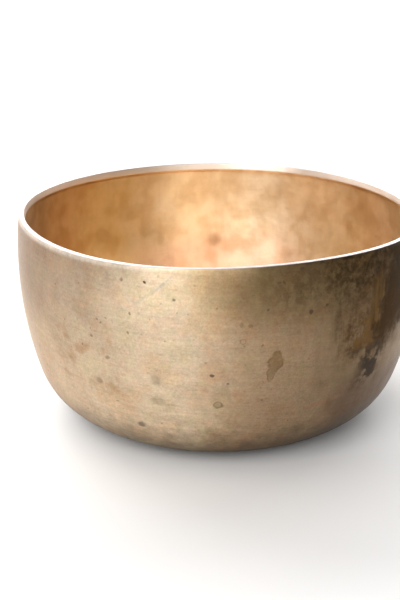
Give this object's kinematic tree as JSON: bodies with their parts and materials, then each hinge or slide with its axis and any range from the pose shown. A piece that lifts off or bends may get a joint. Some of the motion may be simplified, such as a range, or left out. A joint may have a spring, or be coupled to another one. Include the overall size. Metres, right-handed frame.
{
  "type": "singing bowl",
  "caption": "Hand-hammered bronze bowl with nearly upright sides, a rounded lower corner, a flat foot and a thick plain lip, struck or rubbed to ring.",
  "frame": {"origin": "centre of the flat resting face under the bowl", "axes": "+Z along the bowl's axis, from the foot out of the mouth; +X to the right and -Y towards the viewer in the reference view"},
  "size_m": [0.18, 0.1799, 0.0931],
  "materials": {
    "bell_bronze": "satin hand-worked bronze with fine scraping lines, darker patina patches and a brighter lip"
  },
  "bodies": {
    "root": {"bowl": "bell_bronze"}
  },
  "joints": []
}
